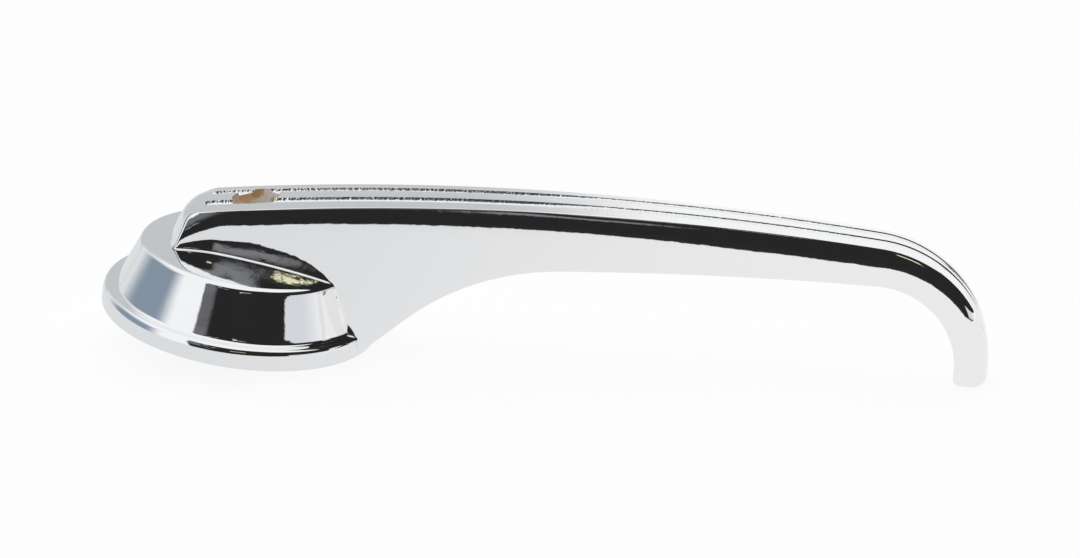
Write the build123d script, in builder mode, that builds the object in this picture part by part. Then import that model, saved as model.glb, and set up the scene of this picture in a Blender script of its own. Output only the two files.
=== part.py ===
from build123d import *
from math import asin, cos, pi, radians, sin, sqrt
import os

os.makedirs("parts", exist_ok=True)

# Inside door handle of a car: a one-piece zinc die casting, chrome plated all over.
# Frame: Z is the spindle axis and points into the cabin, z = 0 is the back of the flange,
# which lies on the door panel, and the lever runs along +X.
# Lengths are in millimetres and angles in degrees.

# Flange and boss, turned about the spindle axis
flange_radius = 19.0
flange_edge = 1.5
lip_height = 1.0
lip_width = 0.9
ledge_width = 1.7
cove_radius = 0.6
boss_rise = 7.3
boss_taper = 2.7
rim_round = 1.0
dome_rise = 0.9

# Hollow back of the boss, with a ribbed hub for the square spindle
shell_wall = 2.3
crown_wall = 2.6
rib_count = 4
rib_thickness = 1.8
hub_wall = 2.9
spindle_square = 8.0
spindle_clearance = 0.2
socket_depth = 9.0
socket_corner = 0.6

# Screw that holds the handle on its spindle
seat_thickness = 3.6
screw_hole_radius = 2.2
screw_head_radius = 3.25

# Top line of the lever: one long arc that runs into the curl at the finger end
butt_setback = 5.5
butt_rise = 4.87
arm_length = 83.8
arm_height = 30.87
arm_end_slope = 3.35
curl_radius = 16.25
tip_lean = 8.0

# Underside of the lever: finger tip, inner curl, long arc and the web down to the flange
tip_thickness = 4.5
tip_straight = 2.2
inner_curl_radius = 11.0
inner_curl_slope = 7.9
arm_depth_curl = 5.2
arm_depth_web = 9.0
web_corner_x = 31.4
web_radius = 36.0
web_inset = 0.8
web_foot_height = 0.2
under_round = 0.9

# Width of the lever: the flat ribbon on top and the sides that bulge out below its edges
ribbon_half_root = 5.4
ribbon_half_curl = 3.8
ribbon_crown_radius = 42.0
ribbon_end_turn = 69.0
side_bulge_root = 0.67
side_bulge_curl = 0.4
shoulder_depth_root = 4.5
shoulder_depth_curl = 2.6
shoulder_depth_tip = 2.4
tip_half_width = 3.5
nose_drop = 0.15

# Butt end of the lever over the boss: a leaning round face with a soft top edge
butt_lean = 22.0
butt_radius = 9.0
butt_round = 2.5
butt_draw_in = 0.6
draw_in_length = 7.1

# Two grooves that leave three bands on the ribbon and close in towards the finger end
groove_radius = 0.9
groove_depth = 0.5
groove_setback = 2.5
groove_offset_root = 2.27
groove_offset_curl = 1.53
groove_offset_end = 0.6
groove_fade_turn = 60.0

# Heights and radii that follow from the sizes above
flange_height = flange_edge + lip_height
boss_foot_radius = flange_radius - ledge_width
boss_rim_radius = boss_foot_radius - boss_taper
boss_height = flange_height + boss_rise
socket_width = spindle_square + spindle_clearance
hub_radius = socket_width / 2 + hub_wall
hollow_depth = boss_height - crown_wall
seat_height = socket_depth + seat_thickness
butt_top_x = butt_setback - boss_rim_radius
butt_edge_z = boss_height + butt_rise

# The long arc passes the butt's top edge and ends at the curl's start with the stated slope
slope = radians(arm_end_slope)
run = butt_top_x - arm_length
fall = butt_edge_z - arm_height
top_radius = (run**2 + fall**2) / (2 * (run * sin(slope) - fall * cos(slope)))
top_cx = arm_length + top_radius * sin(slope)
top_cz = arm_height - top_radius * cos(slope)
curl_cx = arm_length + curl_radius * sin(slope)
curl_cz = arm_height - curl_radius * cos(slope)
curl_turn = 90.0 + arm_end_slope - tip_lean
crown_rise = ribbon_crown_radius - sqrt(ribbon_crown_radius**2 - ribbon_half_root**2)

# Overrun of the blank and of the cuts past the faces that they make, and the blank's tail end
overrun = flange_edge
tail_x = -boss_rim_radius

# Cross-sections that the lofts pass through, and how far they crowd towards the ends of the arm
arm_stations = 12
curl_steps = 6
groove_stations = 14
fade_steps = 5
crowding = 0.4


def along(start, end, part):
    """Value at a part of the way from start to end."""
    return start + (end - start) * part


def graded(start, end, count):
    """Places from start up to end, close together near both and wider between them."""
    shares = [i / count for i in range(count)]
    return [along(start, end, share - crowding * sin(2 * pi * share) / (2 * pi)) for share in shares]


def top_z(x):
    """Height of the ribbon's edge line at x, up to the curl."""
    return top_cz + sqrt(top_radius**2 - (x - top_cx) ** 2)


def ribbon_half(x):
    """Half width of the ribbon at x, up to the curl."""
    return along(ribbon_half_root, ribbon_half_curl, x / arm_length)


def lever_half(x):
    """Half width of the lever over its sides at x, up to the curl."""
    return ribbon_half(x) + along(side_bulge_root, side_bulge_curl, x / arm_length)


def curl_spot(turn, radius):
    """Point of the X-Z plane at a turn past the curl's start, and the direction there."""
    angle = radians(turn) - slope
    spot = (curl_cx + radius * sin(angle), 0, curl_cz + radius * cos(angle))
    return spot, (cos(angle), 0, -sin(angle))


def crown_over(shoulder, ribbon, half):
    """Rise of the half ellipse over the ribbon, for the ribbon to cut it at the stated half width."""
    return shoulder * (1 / sqrt(1 - (ribbon / half) ** 2) - 1)


def section(spot, direction, half, shoulder, crown, depth):
    """Cross-section of the lever's blank: upright sides under half an ellipse, in two quarters."""
    pull = 4 * (sqrt(2) - 1) / 3
    side = pull * (shoulder + crown) - shoulder
    with BuildSketch(Plane(origin=spot, x_dir=(0, 1, 0), z_dir=direction)) as face:
        with BuildLine():
            Polyline((-half, -shoulder), (-half, -depth), (half, -depth), (half, -shoulder))
            Bezier((half, -shoulder), (half, side), (pull * half, crown), (0, crown))
            Bezier((0, crown), (-pull * half, crown), (-half, side), (-half, -shoulder))
        make_face()
    return face.sketch


# Blank of the lever: upright sections along the arm, then sections square to the curl
web_foot_x = flange_radius - web_inset
blank_root = top_z(web_foot_x) + overrun
blank_curl = curl_radius / 2
sections = []
for x in graded(tail_x, arm_length, arm_stations):
    back = max(0.0, butt_top_x + draw_in_length - x) / draw_in_length
    half = lever_half(x) - butt_draw_in * back**2
    shoulder = along(shoulder_depth_root, shoulder_depth_curl, x / arm_length)
    crown = crown_over(shoulder, ribbon_half(x), lever_half(x))
    depth = along(blank_root, blank_curl, max(0.0, x - web_foot_x) / (arm_length - web_foot_x))
    sections.append(section((x, 0, top_z(x)), (1, 0, 0), half, shoulder, crown, depth))
crown_curl = crown_over(shoulder_depth_curl, ribbon_half_curl, lever_half(arm_length))
for i in range(curl_steps + 1):
    turn = curl_turn * i / curl_steps
    half = along(lever_half(arm_length), tip_half_width, i / curl_steps)
    shoulder = along(shoulder_depth_curl, shoulder_depth_tip, i / curl_steps)
    left = 1 - turn / ribbon_end_turn
    crown = crown_rise + (crown_curl - crown_rise if left > 0 else nose_drop) * left
    spot, heading = curl_spot(turn, curl_radius)
    sections.append(section(spot, heading, half, shoulder, crown, blank_curl))
end_run = 2 * tip_straight
blank_end = (spot[0] + end_run * heading[0], 0, spot[2] + end_run * heading[2])
sections.append(section(blank_end, heading, half, shoulder, crown, blank_curl))

# Room over the ribbon: a slightly crowned profile that follows the long arc and leaves the curl
leave, heading = curl_spot(ribbon_end_turn, curl_radius)
run_out = curl_radius
path_start = 2 * tail_x
with BuildLine(Plane.XZ) as ribbon_path:
    long_arc = RadiusArc((path_start, top_z(path_start)), (arm_length, arm_height), top_radius)
    RadiusArc((arm_length, arm_height), (leave[0], leave[2]), curl_radius)
    Line((leave[0], leave[2]), (leave[0] + run_out * heading[0], leave[2] + run_out * heading[2]))
room_half = 1.5 * lever_half(0)
room_edge = crown_rise - ribbon_crown_radius + sqrt(ribbon_crown_radius**2 - room_half**2)
with BuildPart() as ribbon_room:
    with BuildSketch(Plane(origin=long_arc @ 0, x_dir=(0, 1, 0), z_dir=long_arc % 0)):
        with BuildLine():
            ThreePointArc((-room_half, room_edge), (0, crown_rise), (room_half, room_edge))
            Polyline(
                (room_half, room_edge),
                (room_half, room_half),
                (-room_half, room_half),
                (-room_half, room_edge),
            )
        make_face()
    sweep(path=ribbon_path.line)

# Side outline of the lever: every stretch of the underside runs smoothly into the next
turn_in = radians(inner_curl_slope)
tip_down = radians(tip_lean)
inner_cz = arm_height - arm_depth_curl - inner_curl_radius * cos(turn_in)
tip_face = curl_cx * cos(tip_down) + curl_cz * sin(tip_down) + curl_radius + crown_rise
inner_face = tip_face - tip_thickness
inner_cx = (inner_face - inner_curl_radius - inner_cz * sin(tip_down)) / cos(tip_down)
inner_start = (inner_cx - inner_curl_radius * sin(turn_in), inner_cz + inner_curl_radius * cos(turn_in))
inner_end = (inner_cx + inner_curl_radius * cos(tip_down), inner_cz + inner_curl_radius * sin(tip_down))
inner_bend = (inner_cx + inner_curl_radius * cos(pi / 4), inner_cz + inner_curl_radius * sin(pi / 4))
tip_inner = (inner_end[0] + tip_straight * sin(tip_down), inner_end[1] - tip_straight * cos(tip_down))
tip_outer = (
    tip_inner[0] + (tip_thickness + overrun) * cos(tip_down),
    tip_inner[1] + (tip_thickness + overrun) * sin(tip_down),
)
web_corner = (web_corner_x, top_z(web_corner_x) - arm_depth_web)
over_z = arm_height + room_half
with BuildPart() as outline:
    with BuildSketch(Plane.XZ) as side_view:
        with BuildLine():
            Polyline(tip_outer, tip_inner, inner_end)
            RadiusArc(inner_end, inner_start, -inner_curl_radius)
            TangentArc(inner_start, web_corner, tangent=(-cos(turn_in), -sin(turn_in)))
            Polyline(
                web_corner,
                (web_foot_x, web_foot_height),
                (tail_x - overrun, web_foot_height),
                (tail_x - overrun, over_z),
                (tip_outer[0], over_z),
                tip_outer,
            )
        make_face()
        fillet(side_view.vertices().sort_by_distance(web_corner)[0], web_radius)
    extrude(amount=room_half, both=True)

# Room behind the butt end: all that lies outside a leaning cylinder
lean = radians(butt_lean)
butt_top_z = butt_edge_z + crown_rise
butt_axis = (butt_top_x + butt_radius * cos(lean), 0, butt_top_z - butt_radius * sin(lean))
butt_plane = Plane(origin=butt_axis, x_dir=(cos(lean), 0, -sin(lean)), z_dir=(sin(lean), 0, cos(lean)))
with BuildPart() as butt_room:
    with BuildSketch(butt_plane):
        Rectangle(2 * butt_radius, 3 * butt_radius, align=(Align.MAX, Align.CENTER))
        Circle(butt_radius, mode=Mode.SUBTRACT)
    extrude(amount=2 * butt_top_z, both=True)


def groove_section(x, turn, side):
    """Half-round section of a groove's cutter over the long arc at x, or at a turn into the curl."""
    part = turn / groove_fade_turn
    offset = along(groove_offset_root, groove_offset_curl, x / arm_length)
    offset = along(offset, groove_offset_end, part)
    sag = ribbon_crown_radius - sqrt(ribbon_crown_radius**2 - offset**2)
    lift = crown_rise - sag + groove_radius - groove_depth * (1 - part**2)
    if turn > 0:
        spot, direction = curl_spot(turn, curl_radius + lift)
    else:
        angle = asin((x - top_cx) / top_radius)
        spot = (x + lift * sin(angle), 0, top_z(x) + lift * cos(angle))
        direction = (cos(angle), 0, -sin(angle))
    centre = (spot[0], side * offset, spot[2])
    with BuildSketch(Plane(origin=centre, x_dir=(0, 1, 0), z_dir=direction)) as face:
        with BuildLine():
            ThreePointArc((-groove_radius, 0), (0, -groove_radius), (groove_radius, 0))
            Line((groove_radius, 0), (-groove_radius, 0))
        make_face()
    return face.sketch


def groove_cutter(side):
    """Half-round bar along one groove, which fades out where it lifts off the ribbon."""
    stations = graded(butt_top_x + groove_setback, arm_length, groove_stations)
    cuts = [groove_section(x, 0, side) for x in stations]
    for i in range(fade_steps + 2):
        cuts.append(groove_section(arm_length, groove_fade_turn * i / fade_steps, side))
    with BuildPart() as cutter:
        loft(sections=cuts)
    return cutter.part


# Lever: the blank trimmed to its outline, with rounded lower edges and the two grooves
with BuildPart() as lever:
    loft(sections=sections)
    add(outline.part, mode=Mode.INTERSECT)
    add(ribbon_room.part, mode=Mode.SUBTRACT)
    add(butt_room.part, mode=Mode.SUBTRACT)
    fillet(lever.edges().sort_by_distance((butt_top_x, 0, butt_top_z))[0], butt_round)
    tip_middle = ((tip_inner[0] + tip_outer[0]) / 2, 0, (tip_inner[1] + tip_outer[1]) / 2)
    lower = list(lever.faces().sort_by_distance(tip_middle)[0].edges())
    for y in (-lever_half(arm_length), lever_half(arm_length)):
        lower.append(lever.edges().sort_by_distance((inner_bend[0], y, inner_bend[1]))[0])
    fillet(lower, under_round)
    add([groove_cutter(-1), groove_cutter(1)], mode=Mode.SUBTRACT)

# Hollow of the back: a ring round the hub, crossed by ribs
hollow_foot = boss_foot_radius - shell_wall
hollow_top = hollow_foot - boss_taper * (hollow_depth - flange_height) / boss_rise
with BuildPart() as hollow:
    with BuildSketch(Plane.XZ):
        with BuildLine():
            Polyline(
                (hub_radius, -overrun),
                (hollow_foot, -overrun),
                (hollow_foot, 0),
                (hollow_top, hollow_depth),
                (hub_radius, hollow_depth),
                close=True,
            )
        make_face()
    revolve(axis=Axis.Z)
    with PolarLocations(0, rib_count, start_angle=180 / rib_count):
        Box(
            flange_radius,
            rib_thickness,
            2 * boss_height,
            align=(Align.MIN, Align.CENTER, Align.CENTER),
            mode=Mode.SUBTRACT,
        )

# The whole casting: boss and flange, lever, hollow back, spindle socket and screw hole
dome_z = boss_height + dome_rise
with BuildPart() as door_handle:
    with BuildSketch(Plane.XZ):
        with BuildLine():
            Polyline((0, dome_z), (0, 0), (flange_radius, 0), (flange_radius, flange_edge))
            Bezier(
                (flange_radius, flange_edge),
                (flange_radius, flange_height),
                (flange_radius - lip_width, flange_height),
            )
            Polyline(
                (flange_radius - lip_width, flange_height),
                (boss_foot_radius, flange_height),
                (boss_rim_radius, boss_height),
            )
            TangentArc((0, dome_z), (boss_rim_radius, boss_height), tangent=(1, 0))
        make_face()
    revolve(axis=Axis.Z)
    circles = door_handle.edges().filter_by(GeomType.CIRCLE)
    fillet(circles.sort_by_distance((boss_foot_radius, 0, flange_height))[0], cove_radius)
    circles = door_handle.edges().filter_by(GeomType.CIRCLE)
    fillet(circles.sort_by_distance((boss_rim_radius, 0, boss_height))[0], rim_round)
    add(lever.part)
    add(hollow.part, mode=Mode.SUBTRACT)
    with BuildSketch(Plane.XY):
        RectangleRounded(socket_width, socket_width, socket_corner)
    extrude(amount=socket_depth, mode=Mode.SUBTRACT)
    with BuildSketch(Plane.XY):
        Circle(screw_hole_radius)
    extrude(amount=arm_height, mode=Mode.SUBTRACT)
    with BuildSketch(Plane.XY.offset(seat_height)):
        Circle(screw_head_radius)
    extrude(amount=arm_height, mode=Mode.SUBTRACT)

door_handle.part.label = "door_handle"
export_step(door_handle.part, "parts/door_handle.step")
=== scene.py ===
from math import asin, cos, pi, radians, sin, sqrt

import bmesh
import bpy
import numpy as np
from mathutils import Matrix, Vector
from mathutils.bvhtree import BVHTree
from mathutils.interpolate import poly_3d_calc


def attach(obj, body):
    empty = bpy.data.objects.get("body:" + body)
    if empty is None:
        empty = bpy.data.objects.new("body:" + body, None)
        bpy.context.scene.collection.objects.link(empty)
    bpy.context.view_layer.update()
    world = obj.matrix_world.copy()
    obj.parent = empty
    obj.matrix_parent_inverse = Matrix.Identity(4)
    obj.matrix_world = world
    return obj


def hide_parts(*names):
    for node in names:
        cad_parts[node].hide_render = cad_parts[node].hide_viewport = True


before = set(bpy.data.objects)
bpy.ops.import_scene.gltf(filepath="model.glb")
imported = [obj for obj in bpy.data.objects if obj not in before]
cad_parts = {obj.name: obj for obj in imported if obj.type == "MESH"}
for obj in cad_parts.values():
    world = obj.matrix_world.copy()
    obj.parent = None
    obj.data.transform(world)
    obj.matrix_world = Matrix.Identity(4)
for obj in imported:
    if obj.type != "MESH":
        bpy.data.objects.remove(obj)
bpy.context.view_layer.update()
scene = bpy.context.scene
scene.view_settings.view_transform = "Standard"


class Wire:
    """An output socket that takes part in Python arithmetic; each operation adds a Math node."""

    def __init__(self, bench, socket):
        self.bench = bench
        self.socket = socket

    def sum(self, operation, *others):
        node = self.bench.put("ShaderNodeMath", {"operation": operation}, *((self,) + others))
        return node.out(0)

    def __add__(self, other):
        return self.sum("ADD", other)

    def __radd__(self, other):
        return self.sum("ADD", other)

    def __sub__(self, other):
        return self.sum("SUBTRACT", other)

    def __rsub__(self, other):
        return self.bench.put("ShaderNodeMath", {"operation": "SUBTRACT"}, other, self).out(0)

    def __mul__(self, other):
        return self.sum("MULTIPLY", other)

    def __rmul__(self, other):
        return self.sum("MULTIPLY", other)

    def __truediv__(self, other):
        return self.sum("DIVIDE", other)

    def ramp(self, low, high):
        """Smooth step from 0 at low to 1 at high."""
        node = self.bench.put(
            "ShaderNodeMapRange",
            {"interpolation_type": "SMOOTHSTEP"},
            **{"Value": self, "From Min": low, "From Max": high},
        )
        return node.out(0)


class Placed:
    """A node that was put on a bench."""

    def __init__(self, bench, node):
        self.bench = bench
        self.node = node

    def out(self, key):
        return Wire(self.bench, self.node.outputs[key])


class Bench:
    """A node tree that is being built."""

    def __init__(self, tree):
        self.tree = tree

    def feed(self, node, pairs):
        """Gives a node's sockets values or links."""
        for key, value in pairs:
            if isinstance(value, Wire):
                self.tree.links.new(value.socket, node.inputs[key])
            else:
                node.inputs[key].default_value = value

    def put(self, kind, settings=None, *values, **named):
        """Adds a node, sets it up, and feeds its sockets."""
        node = self.tree.nodes.new(kind)
        for name, value in (settings or {}).items():
            setattr(node, name, value)
        self.feed(node, list(enumerate(values)) + list(named.items()))
        return Placed(self, node)

    def tint(self, share, low, high):
        """Colour between low and high."""
        placed = self.put("ShaderNodeMix", {"data_type": "RGBA"})
        self.feed(placed.node, ((0, share), (6, low), (7, high)))
        return placed.out(2)

    def noise(self, spot, scale, detail):
        node = self.put("ShaderNodeTexNoise", None, spot, **{"Scale": scale, "Detail": detail})
        return node.out("Fac")

    def bump(self, height, strength):
        depth = 0.0002
        node = self.put("ShaderNodeBump", None, Strength=strength, Distance=depth, Height=height)
        return node.out("Normal")


# Camera of the photograph, fitted to the boss's circles and the lever's edges
photo_width = 1080
photo_height = 558
focal_pixels = 3000.0
sensor_width = 36.0
camera_tilt = radians(10.4)
camera_height = radians(21.4)
camera_yaw = radians(-6.5)
camera_distance = 0.4145
flange_pixel = (239.6, 313.2)


def turn_matrix(angle):
    return np.array([[cos(angle), -sin(angle), 0], [sin(angle), cos(angle), 0], [0, 0, 1]])


down_view = np.array([
    [1, 0, 0],
    [0, -sin(camera_height), -cos(camera_height)],
    [0, cos(camera_height), -sin(camera_height)],
])
view = turn_matrix(camera_tilt) @ down_view @ turn_matrix(camera_yaw)
offset = np.array([
    (flange_pixel[0] - photo_width / 2) * camera_distance / focal_pixels,
    (flange_pixel[1] - photo_height / 2) * camera_distance / focal_pixels,
    camera_distance,
])
place = -view.T @ offset
camera_data = bpy.data.cameras.new("photo_camera")
camera_data.sensor_fit = "HORIZONTAL"
camera_data.sensor_width = sensor_width
camera_data.lens = focal_pixels / photo_width * sensor_width
camera_data.clip_start = 0.01
camera = bpy.data.objects.new("photo_camera", camera_data)
scene.collection.objects.link(camera)
pose = Matrix.Identity(4)
for number, axis in enumerate((view[0], -view[1], -view[2], place)):
    for row in range(3):
        pose[row][number] = axis[row]
camera.matrix_world = pose
scene.camera = camera

# Table under the handle, which lies on its flange's edge and its finger tip
table_tilt = radians(10.2)
table_up = Vector((-sin(table_tilt), 0, cos(table_tilt)))
table_along = Vector((cos(table_tilt), 0, sin(table_tilt)))
table_across = Vector((0, 1, 0))
resting_edge = Vector((0.019, 0, 0))
table_half = 1.5
table_back = 3.0

# Front edge of the table as the chrome shows it, a painted reflection: glossy rays see the table dark past this
# line, which is straight at the right and slants away at the left
painted_front_edge = -0.128
painted_front_bend = 0.062
painted_front_slant = 2.3
painted_front_blur = 0.015
table_glow = 0.86

# Directions round the table, seen from its middle
front = Vector(place) - resting_edge
front = (front - front.dot(table_up) * table_up).normalized()
right = table_up.cross(front)


def tent_direction(bench, vector):
    """Bearing from the front and height over the table of a direction, in degrees."""
    def share(axis):
        product = bench.put("ShaderNodeVectorMath", {"operation": "DOT_PRODUCT"}, vector, tuple(axis))
        return product.out("Value")
    bearing = share(right).sum("ARCTAN2", share(front)) * (180 / pi)
    height = share(table_up).sum("ARCSINE") * (180 / pi)
    return bearing, height


def patch(left=None, right=None, low=None, high=None):
    """Share of a patch of the tent: 1 inside its limits of bearing and height, and 0 outside."""
    share = 1.0
    for angle, begins, ends in ((bearing, left, right), (height, low, high)):
        if begins:
            share = angle.ramp(*begins) * share
        if ends:
            share = (1 - angle.ramp(*ends)) * share
    return share


# Light tent round the handle. Limits of its patches are pairs of degrees, between which a change goes on
world = bpy.data.worlds.new("light_tent")
scene.world = world
world.use_nodes = True
world.node_tree.nodes.clear()
tent = Bench(world.node_tree)
ray = tent.put("ShaderNodeTexCoord").out("Generated")
bearing, height = tent_direction(tent, ray)

# White cloth, greyer at its left, its back and its right
shade = patch(left=(-145, -108), right=(-80, -60), high=(30, 60))
rear = patch(left=(171, 179)).sum("MAXIMUM", patch(right=(-150, -128))) * patch(high=(35, 60))
flank = patch(left=(44, 46), right=(60, 90), high=(30, 60))
cloth = (0.98, 0.98, 0.98, 1.0)
for share, colour in (
    (shade, (0.25, 0.31, 0.38, 1.0)),
    (rear, (0.58, 0.60, 0.61, 1.0)),
    (flank, (0.72, 0.73, 0.77, 1.0)),
):
    cloth = tent.tint(share, cloth, colour)

# Dark room beyond the tent, with dim patches and two bright ones
haze = patch(left=(-24, -20), right=(-18, -15), low=(30, 34))
gleam = patch(left=(-38, -36), right=(-27, -22), low=(14, 24))
sheen = patch(left=(-25, -22), right=(-19, -16), low=(12.5, 14), high=(15.5, 17.5))
glint = patch(left=(-1, 1), right=(11, 13), low=(20.5, 21), high=(23.5, 24.5))
pane = patch(left=(-15.3, -14.3), right=(-12, -11), low=(31.0, 31.3), high=(33, 34))
room = (0.022, 0.021, 0.021, 1.0)
for share, colour in (
    (haze, (0.22, 0.22, 0.23, 1.0)),
    (gleam, (0.16, 0.16, 0.17, 1.0)),
    (sheen, (0.22, 0.22, 0.23, 1.0)),
    (glint.sum("MAXIMUM", pane), (0.96, 0.90, 0.62, 1.0)),
):
    room = tent.tint(share, room, colour)

# Opening in front: above its sill it goes further to the right, where the sill and the top both slope down
opening_side = 45.0
opening_reach = 70.0
sill_slope = 0.15
top_slope = 0.35
past_side = (bearing - opening_side).sum("MAXIMUM", 0.0)
over_sill = (height + sill_slope * past_side).ramp(9, 14)
over_top = (height + top_slope * past_side).ramp(56, 62)
past_right = (bearing - opening_reach * over_sill).ramp(43.5, 45.5)
opening = patch(left=(-38, -36)) * (1 - past_right) * (1 - over_top)
surroundings = tent.tint(opening, cloth, room)
backdrop = (0.97, 0.97, 0.97, 1.0)
seen = tent.put("ShaderNodeLightPath").out("Is Camera Ray")
sky = tent.put("ShaderNodeBackground", None, tent.tint(seen, surroundings, backdrop), 1.0)
tent.put("ShaderNodeOutputWorld", None, sky.out(0))


def new_material(name):
    """A material with an empty node tree, and the bench to build it on."""
    material = bpy.data.materials.new(name)
    material.use_nodes = True
    material.node_tree.nodes.clear()
    return material, Bench(material.node_tree)


def table_material():
    """White table with a faint shadow, clear from below. The chrome sees a painted reflection on it: greyer at
    the left, creamier at the right, and dark past its front edge.
    """
    material, bench = new_material("white_table_painted_reflection")
    spot = bench.put("ShaderNodeSeparateXYZ", None, bench.put("ShaderNodeTexCoord").out("Object"))
    across, deep = spot.out("X"), spot.out("Y")
    edge = (across - painted_front_bend).sum("MINIMUM", 0.0) * painted_front_slant + painted_front_edge
    # Painted reflection: the colour glossy rays see on the table, greyer at the left and creamier at the right
    mirrored = bench.tint(across.ramp(-0.02, 0.08), (0.77, 0.78, 0.79, 1.0), (0.92, 0.90, 0.89, 1.0))
    # Painted reflection of the table's front edge: glossy rays see the table dark past the line
    mirrored = bench.tint((edge - deep).ramp(0.0, painted_front_blur), mirrored, (0.024, 0.023, 0.023, 1.0))
    path = bench.put("ShaderNodeLightPath")
    seen, glossy = path.out("Is Camera Ray"), path.out("Is Glossy Ray")
    matt = bench.put("ShaderNodeBsdfDiffuse", None, (0.92, 0.92, 0.93, 1.0))
    # Camera rays see an even white glow; glossy rays see the painted reflection
    glow = bench.put("ShaderNodeEmission", None, bench.tint(glossy, (1.05, 1.05, 1.05, 1.0), mirrored), 1.0)
    both = bench.put("ShaderNodeMixShader", None, seen * table_glow + glossy, matt.out(0), glow.out(0))
    clear = bench.put("ShaderNodeBsdfTransparent")
    under = bench.put("ShaderNodeNewGeometry").out("Backfacing")
    whole = bench.put("ShaderNodeMixShader", None, under, both.out(0), clear.out(0))
    bench.put("ShaderNodeOutputMaterial", None, whole.out(0))
    return material


table_mesh = bpy.data.meshes.new("table")
corners = []
for a, b in (
    (-table_half, -table_half),
    (table_half, -table_half),
    (table_half, table_back),
    (-table_half, table_back),
):
    corners.append(resting_edge + a * table_along + b * table_across)
table_mesh.from_pydata(corners, [], [(0, 1, 2, 3)])
table_mesh.materials.append(table_material())
table = bpy.data.objects.new("table", table_mesh)
scene.collection.objects.link(table)


def groove_pits(bench, spot):
    """Rough grain that the polishing leaves down in the ribbon's grooves, up to the curl."""
    place = bench.put("ShaderNodeSeparateXYZ", None, spot)
    x, y, z = [place.out(axis) * 1000 for axis in "XYZ"]
    offset = x * ((groove_offset_curl - groove_offset_root) / arm_length) + groove_offset_root
    away = (y.sum("ABSOLUTE") - offset).sum("ABSOLUTE")
    run_on = x - float(top_centre[0])
    ribbon = (float(top_radius) ** 2 - run_on * run_on).sum("SQRT") + float(top_centre[1])
    in_groove = 1 - away.ramp(0.75, 1.0)
    near_ribbon = (z - ribbon).ramp(-1.3, -1.0)
    before_curl = 1 - x.ramp(78, 83)
    return bench.noise(spot, 2400.0, 2.0) * in_groove * near_ribbon * before_curl


def chrome_material(name, pitted):
    """Mirror chrome plate with the slight waviness of a polished casting."""
    material, bench = new_material(name)
    spot = bench.put("ShaderNodeTexCoord").out("Object")
    wave = bench.noise(spot, 420.0, 3.0) * 0.08
    if pitted:
        wave = wave + groove_pits(bench, spot) * 0.35
    plate = bench.put("ShaderNodeBsdfPrincipled", None, **{
        "Base Color": (0.9, 0.91, 0.92, 1.0),
        "Metallic": 1.0,
        "Roughness": 0.04,
        "Normal": bench.bump(wave, 1.0),
    })
    bench.put("ShaderNodeOutputMaterial", None, plate.out(0))
    return material


def back_material(name):
    """Dull thin plating in the hollow of the back."""
    material, bench = new_material(name)
    spot = bench.put("ShaderNodeTexCoord").out("Object")
    cloud = bench.noise(spot, 140.0, 4.0)
    grain = bench.noise(spot, 2200.0, 3.0)
    metal = bench.put("ShaderNodeBsdfPrincipled", None, **{
        "Base Color": bench.tint(cloud.ramp(0.35, 0.7), (0.42, 0.42, 0.42, 1.0), (0.62, 0.62, 0.61, 1.0)),
        "Metallic": 1.0,
        "Roughness": 0.3 + 0.25 * cloud,
        "Normal": bench.bump(grain, 0.35),
    })
    bench.put("ShaderNodeOutputMaterial", None, metal.out(0))
    return material


def hole_material(name):
    """Plating worn to its copper layer by the screw's head."""
    material, bench = new_material(name)
    spot = bench.put("ShaderNodeTexCoord").out("Object")
    cloud = bench.noise(spot, 460.0, 2.0)
    spread = bench.noise(spot, 700.0, 2.0)
    colour = bench.tint(cloud.ramp(0.42, 0.52), (1.0, 0.72, 0.46, 1.0), (1.0, 0.98, 0.96, 1.0))
    metal = bench.put("ShaderNodeBsdfPrincipled", None, **{
        "Base Color": bench.tint(spread.ramp(0.58, 0.66), colour, (0.72, 0.50, 0.24, 1.0)),
        "Metallic": 0.0,
        "Roughness": 0.3 + 0.3 * cloud,
    })
    bench.put("ShaderNodeOutputMaterial", None, metal.out(0))
    return material


# Sizes of the casting in millimetres and degrees. They are those of the part's source, except for the lip's
# height, the boss's rise, the side bulge at the curl, the shoulders from the curl on and the butt's bow, which
# follow the photo's reflections
flange_radius = 19.0
flange_edge = 1.5
lip_height = 1.4
lip_width = 0.9
ledge_width = 1.7
cove_radius = 0.6
boss_rise = 6.9
boss_taper = 2.7
rim_round = 1.0
dome_rise = 0.9
shell_wall = 2.3
crown_wall = 2.6
rib_count = 4
rib_thickness = 1.8
hub_wall = 2.9
socket_width = 8.2
socket_depth = 9.0
socket_corner = 0.6
seat_thickness = 3.6
screw_hole_radius = 2.2
screw_head_radius = 3.25
butt_setback = 5.5
butt_rise = 4.87
arm_length = 83.8
arm_height = 30.87
arm_end_slope = 3.35
curl_radius = 16.25
tip_lean = 8.0
tip_thickness = 4.5
tip_straight = 2.2
inner_curl_radius = 11.0
inner_curl_slope = 7.9
arm_depth_curl = 5.2
arm_depth_web = 9.0
web_corner_x = 31.4
web_radius = 36.0
web_inset = 0.8
web_foot_height = 0.2
under_round = 0.9
ribbon_half_root = 5.4
ribbon_half_curl = 3.8
ribbon_crown_radius = 42.0
ribbon_end_turn = 69.0
side_bulge_root = 0.67
side_bulge_curl = 0.6
shoulder_depth_root = 4.5
shoulder_depth_curl = 3.6
shoulder_depth_tip = 1.7
shoulder_end_turn = 55.0
tip_half_width = 3.5
nose_drop = 0.15
butt_lean = 22.0
butt_radius = 13.0
butt_round = 2.5
groove_radius = 0.9
groove_depth = 0.5
groove_setback = 2.5
groove_offset_root = 2.27
groove_offset_curl = 1.53
groove_offset_end = 0.6
groove_fade_turn = 60.0

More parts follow.
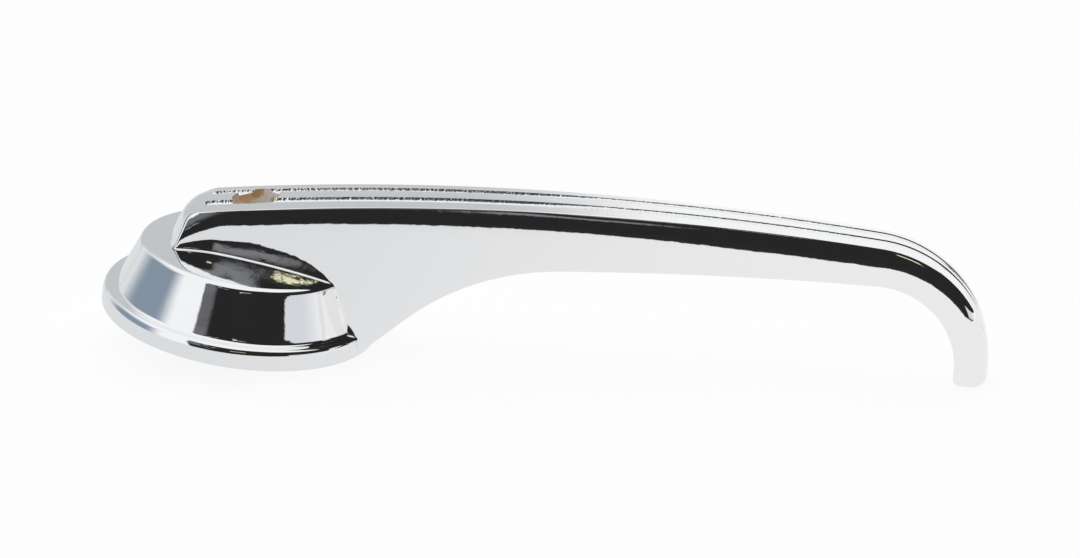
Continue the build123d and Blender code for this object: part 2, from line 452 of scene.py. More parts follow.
flange_height = flange_edge + lip_height
boss_foot_radius = flange_radius - ledge_width
boss_rim_radius = boss_foot_radius - boss_taper
boss_height = flange_height + boss_rise
hub_radius = socket_width / 2 + hub_wall
hollow_depth = boss_height - crown_wall
seat_height = socket_depth + seat_thickness
butt_top_x = butt_setback - boss_rim_radius
butt_edge_z = boss_height + butt_rise
web_foot_x = flange_radius - web_inset
slope = radians(arm_end_slope)
tip_down = radians(tip_lean)
lean = radians(butt_lean)
run = butt_top_x - arm_length
fall = butt_edge_z - arm_height
top_radius = (run**2 + fall**2) / (2 * (run * sin(slope) - fall * cos(slope)))
top_centre = np.array((arm_length + top_radius * sin(slope), arm_height - top_radius * cos(slope)))
curl_centre = np.array((arm_length + curl_radius * sin(slope), arm_height - curl_radius * cos(slope)))
curl_turn = 90.0 + arm_end_slope - tip_lean
crown_rise = ribbon_crown_radius - sqrt(ribbon_crown_radius**2 - ribbon_half_root**2)

# Small rounds and wear that polishing leaves on the crisp edges and the grooves
edge_round_root = 0.05
edge_round_curl = 0.15
groove_edge_round = 0.03
groove_steepness = 8
groove_wear = 0.55
wear_start = 34.0
wear_length = 14.0
tip_round = 0.8
butt_edge_round = 0.3

# Flare of the sides down the butt end, which leans them back there
flare = 1.5
flare_depth = 6.0
flare_length = 6.0
flare_x = -7.4
flare_z = 14.6

# Fillet between the lever and the boss: thin on the dome, fuller down the boss's side, thin on the flange
fillet_dome = 0.35
fillet_side = 1.2
fillet_flange = 0.25
fillet_full_z = 4.5
fillet_end_z = 2.9
fillet_step = 0.35
fillet_arc = 8
fillet_sink = radians(14)
fillet_inside = 0.3
fillet_least_opening = 0.4

# Rows and columns of the lever's mesh
groove_half_rows = np.array((0.4, 0.7, 0.8, 0.86, 0.91, 0.95, 0.98, 1.01, 1.05, 1.12, 1.25))
groove_rows = np.concatenate([-groove_half_rows[::-1], [0.0], groove_half_rows])
edge_rows = np.array((0.4, 0.2, 0.1, 0.04, 0.0))
middle_rows = np.array((0.0, 0.25, 0.5, 0.75, 0.93))
outer_rows = np.array((0.25, 0.5, 0.75))
nose_rows = 0.35
groove_least = 0.12
groove_start = 0.3
shoulder_steps = 14
shoulder_starts = np.array((0.3, 0.6))
side_steps = 7
round_steps = 6
round_least_bite = 0.5
tip_steps = 6
dense_length = 5.0
dense_sections = 24
arm_sections = 131
curl_sections = 66
straight_sections = 6
bend_points = 17
first_gap = 1.5 * butt_edge_round
corner_search = 6.0
butt_passes = 4
warp_length = 14.0
lean_length = 20.0
curl_blend = 50.0

# Points of the underside's outline, and how far it goes on past the lever's ends
inner_arc_points = 120
long_arc_points = 160
web_arc_points = 80
web_touch_range = (0.5, 30)
web_touch_tries = 6000
tip_overrun = 6.0
butt_overrun = -40.0

# Rows of the turned boss, and settings of all the meshes
turned_segments = 240
dome_rows = 40
rim_clear = 1.6 * rim_round
lip_rows = 12
cove_rows = 10
rim_rows = 14
wall_rows = (0.2, 0.4, 0.6, 0.75)
corner_rows = 6
back_edge_round = 0.2
cut_beyond = 1.0
bevel_segments = 4
crease_angle = radians(32)
halvings = 40


def along(start, end, part):
    return start + (end - start) * part


def ease(part):
    part = min(max(part, 0.0), 1.0)
    return part * part * (3 - 2 * part)


def soft_max(a, b, width):
    """The larger of two heights, with the crease between them rounded."""
    return np.maximum(a, b) + width * np.log1p(np.exp(-np.abs(a - b) / width))


def boundary(low, high, below):
    """Place between low and high up to which a condition holds."""
    for _ in range(halvings):
        middle = (low + high) / 2
        if below(middle):
            low = middle
        else:
            high = middle
    return low


def top_z(x):
    return top_centre[1] + sqrt(top_radius**2 - (x - top_centre[0]) ** 2)


def ribbon_half(x):
    return along(ribbon_half_root, ribbon_half_curl, x / arm_length)


def lever_half(x):
    return ribbon_half(x) + along(side_bulge_root, side_bulge_curl, x / arm_length)


def arc_points(centre, radius, start, end, count):
    angles = np.linspace(start, end, count)
    return np.column_stack([centre[0] + radius * np.cos(angles), centre[1] + radius * np.sin(angles)])


def bearing_of(vector):
    return np.arctan2(vector[1], vector[0])


def web_touch(corner, line, middle, reach):
    """Centre of the fillet between the long arc and the straight web line, and where it touches the line."""
    side = np.array((line[1], -line[0]))
    if side @ (middle - corner) < 0:
        side = -side
    best = None
    for step in np.linspace(*web_touch_range, web_touch_tries):
        spot = corner + step * line + web_radius * side
        gap = abs(np.linalg.norm(spot - middle) - (reach - web_radius))
        if best is None or gap < best[0]:
            best = (gap, step, spot)
    return best[2], corner + best[1] * line


def underside():
    """Side outline of the underside, from the finger tip to the web's foot, and the tip's inner end."""
    turn_in = radians(inner_curl_slope)
    inner_cz = arm_height - arm_depth_curl - inner_curl_radius * cos(turn_in)
    tip_face = curl_centre[0] * cos(tip_down) + curl_centre[1] * sin(tip_down) + curl_radius + crown_rise
    inner_face = tip_face - tip_thickness
    inner_cx = (inner_face - inner_curl_radius - inner_cz * sin(tip_down)) / cos(tip_down)
    inner = np.array((inner_cx, inner_cz))
    inner_arc = arc_points(inner, inner_curl_radius, tip_down, pi / 2 + turn_in, inner_arc_points)
    tip_way = np.array((sin(tip_down), -cos(tip_down)))
    start = inner_arc[-1]
    corner = np.array((web_corner_x, top_z(web_corner_x) - arm_depth_web))
    foot = np.array((web_foot_x, web_foot_height))
    normal = np.array((sin(turn_in), -cos(turn_in)))
    chord = corner - start
    radius = chord @ chord / (2 * (chord @ normal))
    middle = start + radius * normal
    reach = abs(radius)
    line = (foot - corner) / np.linalg.norm(foot - corner)
    web_centre, touch_line = web_touch(corner, line, middle, reach)
    away = (web_centre - middle) / np.linalg.norm(web_centre - middle)
    touch_arc = web_centre + web_radius * away
    long_arc = arc_points(
        middle, reach, bearing_of(start - middle), bearing_of(touch_arc - middle), long_arc_points
    )
    web_start = bearing_of(touch_arc - web_centre)
    web_end = bearing_of(touch_line - web_centre)
    web_arc = arc_points(web_centre, web_radius, web_start, web_end, web_arc_points)
    tip = inner_arc[0] + tip_overrun * tip_way
    tail = (butt_overrun, web_foot_height)
    points = np.vstack([tip, inner_arc, long_arc[1:], web_arc[1:], foot, tail])
    return points, inner_arc[0] + tip_straight * tip_way


def sag(y):
    """Fall of the crowned ribbon from its middle at y."""
    return ribbon_crown_radius - np.sqrt(ribbon_crown_radius**2 - y * y)


def groove_fall(y, offset, wide, depth):
    """Depth of the groove below the ribbon at y: a flat floor between steep walls."""
    across = np.minimum(np.abs(np.abs(y) - offset) / wide, 2.0)
    soft = groove_edge_round * min(1.0, 10 * depth) + 1e-6
    return soft_max(depth * (1 - across**groove_steepness), 0.0, soft)


def worn(x):
    """Share of the wear on the grooves and the ribbon's edges at x."""
    return ease((x - wear_start) / wear_length)


def edge_round(x):
    return along(edge_round_root, edge_round_curl, worn(x))


def arm_shape(x):
    """Half width, shoulder depth and crown of the blank's section at x, up to the curl."""
    shoulder = along(shoulder_depth_root, shoulder_depth_curl, x / arm_length)
    crown = shoulder * (1 / sqrt(1 - (ribbon_half(x) / lever_half(x)) ** 2) - 1)
    return lever_half(x), shoulder, crown


def curl_shape(turn):
    """Half width, shoulder depth and crown of the blank's section at a turn into the curl."""
    shoulder = along(shoulder_depth_curl, shoulder_depth_tip, min(turn / shoulder_end_turn, 1.0))
    left = 1 - turn / ribbon_end_turn
    crown = crown_rise + (arm_shape(arm_length)[2] - crown_rise if left > 0 else nose_drop) * left
    return along(lever_half(arm_length), tip_half_width, turn / curl_turn), shoulder, crown


def ellipse_fall(angle, shape):
    """Depth of the shoulder's ellipse at an angle from the section's middle."""
    return shape[1] - (shape[1] + shape[2]) * np.cos(angle)


def ribbon_edge(shape):
    """Angle on the shoulder's ellipse at which the ribbon cuts it."""
    def over_ribbon(angle):
        return ellipse_fall(angle, shape) < sag(shape[0] * sin(angle)) - crown_rise
    return max(boundary(0.0, radians(89), over_ribbon), asin(nose_rows))


def ribbon_rows(shape, offset, wide, depth, soft):
    """Places across the ribbon's right half, and the depth of its surface there."""
    edge = shape[0] * sin(ribbon_edge(shape))
    groove = offset + wide * groove_rows
    rim = edge - edge_rows
    outer = along(groove[-1], rim[0], outer_rows)
    y = np.concatenate([groove[0] * middle_rows, groove, outer, rim])
    blank = ellipse_fall(np.arcsin(y / shape[0]), shape)
    flat = sag(y) - crown_rise + groove_fall(y, offset, wide, depth)
    return y, soft_max(blank, flat, soft)


def shoulder_rows(shape, first):
    """Depths down the shoulder, from just below the ribbon's edge to where the side is upright."""
    falls = ellipse_fall(np.linspace(ribbon_edge(shape), pi / 2, shoulder_steps + 1), shape)[1:]
    return np.concatenate([first + (falls[0] - first) * shoulder_starts, falls])


def side_half(depth, shape, soft):
    """Half width at a depth below the path, with the round of the ribbon's edge taken off."""
    flat = sag(shape[0] * sin(ribbon_edge(shape))) - crown_rise
    below = max(depth - flat, 0.3 * soft)
    depth += soft * np.log1p(-np.exp(-below / soft))
    rise = max(shape[1] - depth, 0.0) / (shape[1] + shape[2])
    return shape[0] * sqrt(max(1 - rise * rise, 0.0))


def arm_depth(spot):
    """Depth below the arm's long arc of a place in its side view."""
    return top_z(spot[0]) - spot[1]


def arm_side(spot):
    """Half width of the arm at a place in its side view, flared down the butt end."""
    depth = arm_depth(spot)
    from_butt = spot[0] - flare_x + np.tan(lean) * (flare_z - spot[1])
    near = min(max(1 - from_butt / flare_length, 0.0), 1.0)
    wider = flare * near**2 * min(max(depth / flare_depth, 0.0), 1.0)
    return side_half(depth, arm_shape(spot[0]), edge_round(spot[0])) + wider


def ray_to_outline(start, down, outline):
    """Distance along a ray to the underside, and the sine of the angle at which it arrives."""
    least = 0.5
    best = None
    a, b = outline[:-1] - start, outline[1:] - start
    cross_a = down[0] * a[:, 1] - down[1] * a[:, 0]
    cross_b = down[0] * b[:, 1] - down[1] * b[:, 0]
    for i in np.nonzero(cross_a * cross_b <= 0)[0]:
        share = cross_a[i] / (cross_a[i] - cross_b[i])
        spot = a[i] + share * (b[i] - a[i])
        reach = spot @ down
        if reach > least and (best is None or reach < best[0]):
            edge = (b[i] - a[i]) / np.linalg.norm(b[i] - a[i])
            best = (reach, abs(down[0] * edge[1] - down[1] * edge[0]))
    return best


def groove_at(x, turn):
    """Offset, half width and depth of the grooves at x on the arm, or at a turn into the curl."""
    part = min(turn / groove_fade_turn, 1.0)
    offset = along(groove_offset_root, groove_offset_curl, min(x / arm_length, 1.0))
    begin = ease((x - butt_top_x - groove_setback) / groove_start)
    depth = groove_depth * (1 - part**2) * begin
    wide = max(sqrt(groove_radius**2 - (groove_radius - depth) ** 2), groove_least)
    return along(offset, groove_offset_end, part), wide, depth * along(1.0, groove_wear, worn(x))


def butt_line(y):
    """Side view of the butt end at y: over the rounded corner and down the leaning face, as points."""
    height = crown_rise - sag(y)
    outward = np.array((-cos(lean), sin(lean)))
    down = np.array((-sin(lean), -cos(lean)))
    bow = sqrt(butt_radius**2 - y * y) - butt_radius
    face = np.array((butt_top_x, butt_edge_z + crown_rise)) + outward * bow
    def over_arc(step):
        return np.linalg.norm(face + step * down - top_centre) > top_radius + height
    corner = face + boundary(-corner_search, corner_search, over_arc) * down
    up = (corner - top_centre) / np.linalg.norm(corner - top_centre)
    back = np.array((-up[1], up[0]))
    turn = np.arccos(back @ down)
    pull = butt_round * np.tan(turn / 2)
    centre = corner - back * pull - up * butt_round
    angles = np.linspace(0, turn, bend_points)
    bend = centre + butt_round * (np.outer(np.cos(angles), up) + np.outer(np.sin(angles), back))
    end = bend[-1] + down * (bend[-1][1] - web_foot_height) / cos(lean)
    return np.vstack([bend, end])


def lengths_along(points):
    """Length of a line from its start up to each of its points."""
    return np.concatenate([[0.0], np.cumsum(np.linalg.norm(np.diff(points, axis=0), axis=1))])


def walk(points, distance):
    """Point at a share of a line's length."""
    lengths = lengths_along(points)
    return np.array([np.interp(distance * lengths[-1], lengths, points[:, k]) for k in (0, 1)])


def column(start, first, down, shape, depth_of, half_of, outline):
    """Right side of the lever from the ribbon's edge down to the underside: points with their half widths."""
    reach, bite = ray_to_outline(start, down, outline)
    rate = depth_of(start + down) - depth_of(start)
    places = list((shoulder_rows(shape, first) - first) / rate)
    deep = under_round / max(bite, round_least_bite)
    places += list(np.linspace(places[-1], reach - deep, side_steps + 1)[1:])
    points = [start + place * down for place in places]
    halves = [half_of(spot) for spot in points]
    widest = halves[-1]
    for angle in np.linspace(0, pi / 2, round_steps + 1)[1:]:
        points.append(start + (reach - deep + deep * sin(angle)) * down)
        halves.append(widest - under_round * (1 - cos(angle)))
    return points, halves


def butt_column(start, half, points):
    """The edge of the butt end, spaced like a straight column: points, half widths and shares of its length."""
    steps = np.cumsum([np.linalg.norm(b - a) for a, b in zip([start] + points, points)])
    shares = steps / steps[-1]
    spots, halves = [], []
    for share in shares:
        across = half
        for _ in range(butt_passes):
            spot = walk(butt_line(across), share)
            across = arm_side(spot)
        spots.append(spot)
        halves.append(across)
    return spots, halves, shares


def arm_loops(outline):
    """Sections of the arm, whose columns turn from the butt's lean to the curl's, and the butt's shares."""
    starts = butt_line(0.0)[0][0]
    dense_end = starts + dense_length
    places = np.concatenate([
        [starts],
        np.linspace(starts + first_gap, dense_end, dense_sections)[:-1],
        np.linspace(dense_end, arm_length, arm_sections)[:-1],
    ])
    loops = []
    for x in places:
        y, falls = ribbon_rows(arm_shape(x), *groove_at(x, 0.0), edge_round(x))
        ribbon = []
        near = max(0.0, 1 - (x - starts) / warp_length)
        for across, drop in zip(y, falls):
            place = x + near * (butt_line(across)[0][0] - starts) if near > 0 else x
            angle = asin((place - top_centre[0]) / top_radius)
            spot = top_centre + (top_radius - drop) * np.array((sin(angle), cos(angle)))
            ribbon.append((spot[0], across, spot[1]))
        start = np.array((ribbon[-1][0], ribbon[-1][2]))
        tip_part = ease((x - curl_blend) / (arm_length - curl_blend))
        turn = lean * (1 - ease((x - starts) / lean_length)) - slope * tip_part
        down = np.array((-sin(turn), -cos(turn)))
        points, halves = column(start, falls[-1], down, arm_shape(start[0]), arm_depth, arm_side, outline)
        if not loops:
            points, halves, shares = butt_column(start, y[-1], points)
        loops.append((ribbon, points, halves))
    return loops, shares


def drawn_in(flat, inset):
    """Half of a flat section, moved inwards square to its outline."""
    mirror = np.vstack([flat[1] * (-1, 1), flat, flat[-1] * (-1, 1)])
    lead = mirror[2:] - mirror[:-2]
    lead /= np.linalg.norm(lead, axis=1)[:, None]
    return flat + inset * np.column_stack([lead[:, 1], -lead[:, 0]])


def curl_loops(outline, tip_inner):
    """Sections of the curl and the straight finger tip, square to the path and drawn in at the tip's end."""
    end_angle = radians(curl_turn) - slope
    end = curl_centre + curl_radius * np.array((sin(end_angle), cos(end_angle)))
    heading = np.array((cos(end_angle), -sin(end_angle)))
    tip_run = (tip_inner - end) @ heading
    straight = np.linspace(0, tip_run - tip_round, straight_sections)[1:]
    bend = np.linspace(0, pi / 2, tip_steps + 1)[1:]
    beyond = len(straight) + tip_steps
    turns = np.concatenate([np.linspace(0, curl_turn, curl_sections), np.full(beyond, curl_turn)])
    runs = np.concatenate([
        np.zeros(curl_sections), straight, tip_run - tip_round + tip_round * np.sin(bend)
    ])
    insets = np.concatenate([np.zeros(curl_sections + len(straight)), tip_round * (1 - np.cos(bend))])
    soft = edge_round(arm_length)
    loops = []
    for turn, run_on, inset in zip(turns, runs, insets):
        shape = curl_shape(turn)
        y, falls = ribbon_rows(shape, *groove_at(arm_length, turn), soft)
        angle = radians(turn) - slope
        out = np.array((sin(angle), cos(angle)))
        origin = curl_centre + curl_radius * out + run_on * np.array((cos(angle), -sin(angle)))
        def depth_of(spot):
            return (origin - spot) @ out
        def half_of(spot):
            return side_half(depth_of(spot), shape, soft)
        points, halves = column(
            origin - falls[-1] * out, falls[-1], -out, shape, depth_of, half_of, outline
        )
        flat = [(a, -b) for a, b in zip(y, falls)]
        flat = np.array(flat + [(h, (p - origin) @ out) for p, h in zip(points, halves)])
        if inset > 0:
            flat = drawn_in(flat, inset)
        spots = [origin + up * out for up in flat[:, 1]]
        ribbon = [(s[0], w, s[1]) for s, w in zip(spots[: len(y)], flat[: len(y), 0])]
        loops.append((ribbon, spots[len(y):], list(flat[len(y):, 0])))
    return loops


def plain_mesh(name, points, faces, material, rounded=(), radius=0.0):
    """Mesh object from points in millimetres, with its faces turned outwards and some of its edges rounded."""
    mesh = bpy.data.meshes.new(name)
    mesh.from_pydata([tuple(c / 1000 for c in point) for point in points], [], faces)
    tidy = bmesh.new()
    tidy.from_mesh(mesh)
    bmesh.ops.recalc_face_normals(tidy, faces=tidy.faces)
    if rounded:
        tidy.verts.ensure_lookup_table()
        edges = [tidy.edges.get((tidy.verts[a], tidy.verts[b])) for a, b in rounded]
        bmesh.ops.bevel(
            tidy, geom=edges, offset=radius / 1000, segments=bevel_segments, profile=0.5, affect="EDGES"
        )
    tidy.to_mesh(mesh)
    tidy.free()
    mesh.materials.append(material)
    mesh.shade_smooth()
    mesh.set_sharp_from_angle(angle=crease_angle)
    piece = bpy.data.objects.new(name, mesh)
    scene.collection.objects.link(piece)
    return piece


def lever_ring(loop, at_butt):
    """Points round a section: the ribbon's right half, the right side, the underside and then the left half."""
    ribbon, sides, halves = loop
    width = [p[1] / ribbon[-1][1] for p in ribbon[1:-1]]
    below = []
    for share in width[::-1] + [0.0] + [-w for w in width]:
        across = share * halves[-1]
        x = butt_line(abs(across))[-1][0] if at_butt else sides[-1][0]
        below.append((x, across, sides[-1][1]))
    half = ribbon[1:] + [(p[0], h, p[1]) for p, h in zip(sides, halves)]
    other = [(p[0], -p[1], p[2]) for p in half[::-1]]
    return [ribbon[0]] + half + below + other


def butt_rows(loop, shares, first, mirrored, points):
    """Rows across the butt face, level with the rows of its sides; points between the sides are added."""
    ribbon, _, halves = loop
    rim = len(ribbon) - 1
    width = [p[1] / ribbon[-1][1] for p in ribbon[:-1]]
    spread = [-w for w in width[:0:-1]] + width
    rows = [mirrored[rim:0:-1] + list(first[: rim + 1])]
    for level, edge in enumerate(halves[:-1]):
        row = [mirrored[rim + 1 + level]]
        for share in spread:
            spot = walk(butt_line(abs(share * edge)), shares[level])
            row.append(len(points))
            points.append((spot[0], share * edge, spot[1]))
        rows.append(row + [first[rim + 1 + level]])
    low = rim + len(shares)
    rows.append([first[low + k] for k in range(2 * rim + 1)][::-1])
    return rows


def lever_piece(material):
    """The lever as one closed skin: rings of its sections, with a butt face and a tip face."""
    outline, tip_inner = underside()
    loops, shares = arm_loops(outline)
    loops += curl_loops(outline, tip_inner)
    points, faces, rings = [], [], []
    for number, loop in enumerate(loops):
        ring = lever_ring(loop, number == 0)
        rings.append(range(len(points), len(points) + len(ring)))
        points += ring
    count = len(rings[0])
    for one, two in zip(rings, rings[1:]):
        for k in range(count):
            n = (k + 1) % count
            faces.append((one[k], one[n], two[n], two[k]))
    first, last = rings[0], rings[-1]
    mirrored = [first[-k] if k else first[0] for k in range(count)]
    rows = butt_rows(loops[0], shares, first, mirrored, points)
    for one, two in zip(rows, rows[1:]):
        for k in range(len(one) - 1):
            faces.append((one[k], one[k + 1], two[k + 1], two[k]))
    # Tip face: rungs from side to side
    rim = len(loops[0][0]) - 1
    low = rim + len(shares)
    faces.append((last[0], last[1], last[-1]))
    for k in range(1, low - 1):
        faces.append((last[k], last[k + 1], last[-k - 1], last[-k]))
    faces.append([last[k] for k in range(low - 1, count - low + 2)])
    butt_edges = []
    for k in range(rim + 2, low - 1):
        butt_edges += [(first[k], first[k + 1]), (mirrored[k], mirrored[k + 1])]
    return plain_mesh("lever", points, faces, material, butt_edges, butt_edge_round)


def rounded_corner(before, corner, after, radius, count):
    """Points of a round of the given radius at a corner between two straight stretches."""
    before, corner, after = (np.array(p, float) for p in (before, corner, after))
    a = (before - corner) / np.linalg.norm(before - corner)
    b = (after - corner) / np.linalg.norm(after - corner)
    half = np.arccos(np.clip(a @ b, -1, 1)) / 2
    middle = corner + (a + b) / np.linalg.norm(a + b) * radius / sin(half)
    start = corner + a * radius / np.tan(half) - middle
    end = corner + b * radius / np.tan(half) - middle
    sweep = np.arccos(np.clip(start @ end / radius**2, -1, 1))
    out = []
    for t in np.linspace(0, 1, count):
        out.append(middle + (sin((1 - t) * sweep) * start + sin(t * sweep) * end) / sin(sweep))
    return out


def turned_piece(name, profile, material):
    """Piece turned about the spindle axis from radii and heights: a ring, unless they start on the axis."""
    points, faces, rings = [], [], []
    for radius, height in profile:
        if radius == 0:
            rings.append([len(points)] * turned_segments)
            points.append((0.0, 0.0, height))
            continue
        rings.append(list(range(len(points), len(points) + turned_segments)))
        for k in range(turned_segments):
            angle = 2 * pi * (k + 0.5) / turned_segments
            points.append((radius * cos(angle), radius * sin(angle), height))
    after = rings[1:] if profile[0][0] == 0 else rings[1:] + rings[:1]
    for one, two in zip(rings, after):
        for k in range(turned_segments):
            n = (k + 1) % turned_segments
            faces.append(list(dict.fromkeys((one[k], one[n], two[n], two[k]))))
    return plain_mesh(name, points, faces, material)


def boss_profile():
    """Profile of the flange, the tapered boss and its domed top, from the back's middle to the top's."""
    dome_radius = (boss_rim_radius**2 + dome_rise**2) / (2 * dome_rise)
    rim = (boss_rim_radius, boss_height)
    dome = [(0.0, boss_height + dome_rise)]
    for radius in np.linspace(0, boss_rim_radius, dome_rows)[1:]:
        dome.append((radius, boss_height + dome_rise - dome_radius + sqrt(dome_radius**2 - radius**2)))
    foot = (boss_foot_radius, flange_height)
    lip = (flange_radius - lip_width, flange_height)
    points = [(0.0, 0.0), (flange_radius / 2, 0.0)]
    points += rounded_corner(
        (0, 0), (flange_radius, 0), (flange_radius, flange_edge), back_edge_round, corner_rows
    )
    for t in np.linspace(0, 1, lip_rows):
        across = flange_radius - lip_width * t * t
        points.append((across, flange_edge + lip_height * (2 * t - t * t)))
    points += rounded_corner(lip, foot, rim, cove_radius, cove_rows)
    points += [along(np.array(foot), np.array(rim), t) for t in wall_rows]
    points += rounded_corner(foot, rim, dome[-3], rim_round, rim_rows)
    points += [p for p in dome[::-1] if p[0] < boss_rim_radius - rim_clear]
    return points


def square_piece(name, material):
    """Square bar with rounded corners that cuts the spindle's socket."""
    half = socket_width / 2
    square = []
    for side, other in ((1, 1), (-1, 1), (-1, -1), (1, -1)):
        ends = [(side * half, 0), (0, other * half)]
        if side * other < 0:
            ends.reverse()
        square += rounded_corner(ends[0], (side * half, other * half), ends[1], socket_corner, corner_rows)
    count = len(square)
    points = [(p[0], p[1], z) for z in (-cut_beyond, socket_depth) for p in square]
    faces = [tuple(range(count)), tuple(range(count, 2 * count))]
    for k in range(count):
        n = (k + 1) % count
        faces.append((k, n, count + n, count + k))
    return plain_mesh(name, points, faces, material)


def round_bar(radius, low):
    """Profile of a round bar from a height up past the top of the lever."""
    return [(0, low), (radius, low), (radius, arm_height), (0, arm_height)]


def rib_tree():
    """Geometry nodes for the ribs of the hollow back: upright walls that stand round the hub."""
    tree = bpy.data.node_groups.new("hub_ribs", "GeometryNodeTree")
    tree.is_modifier = True
    for name, kind, value in (
        ("Count", "NodeSocketInt", rib_count),
        ("Thickness", "NodeSocketFloat", rib_thickness / 1000),
        ("Length", "NodeSocketFloat", flange_radius / 1000),
        ("Height", "NodeSocketFloat", 2 * boss_height / 1000),
        ("Metal", "NodeSocketMaterial", None),
    ):
        socket = tree.interface.new_socket(name, in_out="INPUT", socket_type=kind)
        if value is not None:
            socket.default_value = value
    tree.interface.new_socket("Ribs", in_out="OUTPUT", socket_type="NodeSocketGeometry")
    bench = Bench(tree)
    sizes = bench.put("NodeGroupInput")
    length = sizes.out("Length")
    box = bench.put("ShaderNodeCombineXYZ", None, length, sizes.out("Thickness"), sizes.out("Height"))
    wall = bench.put("GeometryNodeMeshCube", None, box.out(0))
    shift = bench.put("ShaderNodeCombineXYZ", None, length * 0.5)
    wall = bench.put("GeometryNodeTransform", None, Geometry=wall.out("Mesh"), Translation=shift.out(0))
    hub = bench.put("GeometryNodeMeshCircle", None, Vertices=sizes.out("Count"), Radius=0.0)
    number = bench.put("GeometryNodeInputIndex").out(0)
    angle = (number + 0.5) * (2 * pi) / sizes.out("Count")
    turn = bench.put("ShaderNodeCombineXYZ", None, Z=angle)
    ribs = bench.put(
        "GeometryNodeInstanceOnPoints",
        None,
        Points=hub.out("Mesh"),
        Instance=wall.out(0),
        Rotation=turn.out(0),
    )
    real = bench.put("GeometryNodeRealizeInstances", None, ribs.out(0))
    plated = bench.put("GeometryNodeSetMaterial", None, Geometry=real.out(0), Material=sizes.out("Metal"))
    bench.put("NodeGroupOutput", None, plated.out(0))
    return tree


def apply_modifiers(piece):
    """Makes the shape that a piece's modifiers give its own mesh."""
    depsgraph = bpy.context.evaluated_depsgraph_get()
    made = bpy.data.meshes.new_from_object(piece.evaluated_get(depsgraph))
    piece.modifiers.clear()
    piece.data = made


def rib_piece(material):
    """The ribs as a plain mesh."""
    holder = bpy.data.objects.new("ribs", bpy.data.meshes.new("ribs"))
    scene.collection.objects.link(holder)
    tree = rib_tree()
    step = holder.modifiers.new("hub_ribs", "NODES")
    step.node_group = tree
    metal = [s for s in tree.interface.items_tree if s.name == "Metal"][0]
    step[metal.identifier] = material
    apply_modifiers(holder)
    return holder


def combined(piece, tool, operation):
    """Joins a tool to a piece or cuts it away, and removes the tool."""
    step = piece.modifiers.new("shape", "BOOLEAN")
    step.operation = operation
    step.object = tool
    step.solver = "MANIFOLD"
    step.material_mode = "TRANSFER"
    apply_modifiers(piece)
    bpy.data.objects.remove(tool)


class Skin:
    """A source surface that hands its smooth normals on to the faces that come from it."""

    def __init__(self, piece):
        mesh = piece.data
        self.material = mesh.materials[0].name
        self.points = [v.co.copy() for v in mesh.vertices]
        self.faces = [tuple(p.vertices) for p in mesh.polygons]
        self.tree = BVHTree.FromPolygons(self.points, self.faces)
        self.normals = []
        for face in mesh.polygons:
            self.normals.append([mesh.corner_normals[k].vector.copy() for k in face.loop_indices])

    def gap(self, spot):
        return self.tree.find_nearest(spot)[3]

    def normal(self, corner, inside):
        """Normal at a corner, on the face that lies nearest to a place inside the corner's own face."""
        face = self.tree.find_nearest(inside)[2]
        weights = poly_3d_calc([self.points[k] for k in self.faces[face]], corner)
        total = Vector((0, 0, 0))
        for weight, normal in zip(weights, self.normals[face]):
            total += weight * normal
        return total.normalized()


def carry_normals(piece, skins):
    """Gives each corner of the joined casting the normal of the surface that its face was cut from."""
    inward = 0.03
    mesh = piece.data
    mesh.shade_smooth()
    names = [slot.name for slot in mesh.materials]
    found = [None] * len(mesh.loops)
    for face in mesh.polygons:
        near = [skin for skin in skins if skin.material == names[face.material_index]]
        skin = min(near, key=lambda one: one.gap(face.center))
        for loop in face.loop_indices:
            corner = mesh.vertices[mesh.loops[loop].vertex_index].co
            normal = skin.normal(corner, corner.lerp(face.center, inward))
            found[loop] = normal if normal.dot(face.normal) > 0 else -normal
    mesh.normals_split_custom_set(found)


def seam_points(mesh):
    """Points in order along the seam between the faces of two materials."""
    kinds, links = {}, {}
    for face in mesh.polygons:
        for key in face.edge_keys:
            kinds.setdefault(key, set()).add(face.material_index)
    for (a, b), found in kinds.items():
        if len(found) == 2:
            links.setdefault(a, []).append(b)
            links.setdefault(b, []).append(a)
    best = []
    left = set(links)
    while left:
        chain = [min(left)]
        left.discard(chain[0])
        while True:
            onward = [k for k in links[chain[-1]] if k in left]
            if not onward:
                break
            chain.append(onward[0])
            left.discard(onward[0])
        best = max(best, chain, key=len)
    return np.array([mesh.vertices[k].co for k in best])


def fillet_radius(z):
    if z > fillet_full_z:
        return along(fillet_side, fillet_dome, ease((z - fillet_full_z) / (boss_height - fillet_full_z)))
    return along(fillet_flange, fillet_side, ease((z - fillet_end_z) / (fillet_full_z - fillet_end_z)))


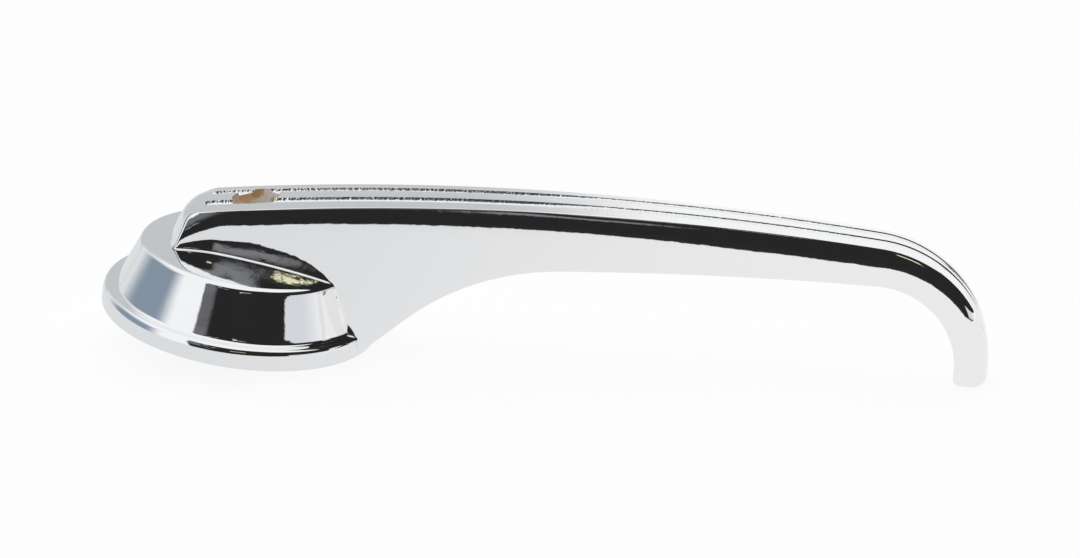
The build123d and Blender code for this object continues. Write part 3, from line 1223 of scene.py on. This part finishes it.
def seam_fillet(name, mesh, one, two, material):
    """Closed bead along the seam of two skins, with a hollow face that meets both."""
    seam = seam_points(mesh) * 1000
    seam = np.vstack([seam, seam[:1]])
    lengths = lengths_along(seam)
    count = int(lengths[-1] / fillet_step)
    points, faces = [], []
    for place in np.linspace(0, lengths[-1], count + 1)[:-1]:
        spot = np.array([np.interp(place, lengths, seam[:, k]) for k in range(3)])
        here = Vector(spot / 1000)
        a = np.array(one.normal(here, here))
        b = np.array(two.normal(here, here))
        radius = fillet_radius(spot[2])
        between = max(1 + a @ b, fillet_least_opening)
        middle = spot + radius * cos(fillet_sink) * (a + b) / between
        sweep = np.arccos(np.clip(a @ b, -1, 1))
        for t in np.linspace(0, 1, fillet_arc + 1):
            toward = (sin((1 - t) * sweep) * a + sin(t * sweep) * b) / sin(sweep)
            points.append(middle - radius * toward)
        points.append(spot - fillet_inside * (a + b))
    ring = fillet_arc + 2
    for k in range(count):
        n = (k + 1) % count
        for j in range(ring):
            i = (j + 1) % ring
            faces.append((k * ring + j, k * ring + i, n * ring + i, n * ring + j))
    return plain_mesh(name, points, faces, material)


# The casting: boss and lever in one, then the hollow back, the spindle's socket and the screw's hole
chrome = chrome_material("chrome_plate", False)
lever_chrome = chrome_material("lever_chrome", True)
back_metal = back_material("plated_back")
hole_metal = hole_material("worn_plate")
lever = lever_piece(lever_chrome)
handle = turned_piece("handle_casting", boss_profile(), chrome)
hollow_foot = boss_foot_radius - shell_wall
hollow_top = hollow_foot - boss_taper * (hollow_depth - flange_height) / boss_rise
hollow_ring = [
    (hub_radius, -cut_beyond),
    (hollow_foot, -cut_beyond),
    (hollow_foot, 0.0),
    (hollow_top, hollow_depth),
    (hub_radius, hollow_depth),
]
hollow = turned_piece("hollow", hollow_ring, back_metal)
combined(hollow, rib_piece(back_metal), "DIFFERENCE")
socket = square_piece("socket", back_metal)
hole = turned_piece("hole", round_bar(screw_hole_radius, hollow_depth), hole_metal)
head = turned_piece("head", round_bar(screw_head_radius, seat_height), hole_metal)
skins = [Skin(piece) for piece in (handle, lever, hollow, socket, hole, head)]
combined(handle, lever, "UNION")
fillet = seam_fillet("fillet", handle.data, skins[1], skins[0], chrome)
skins.append(Skin(fillet))
combined(handle, fillet, "UNION")
for tool in (hollow, socket, hole, head):
    combined(handle, tool, "DIFFERENCE")
carry_normals(handle, skins)
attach(handle, "root")
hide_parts("door_handle")
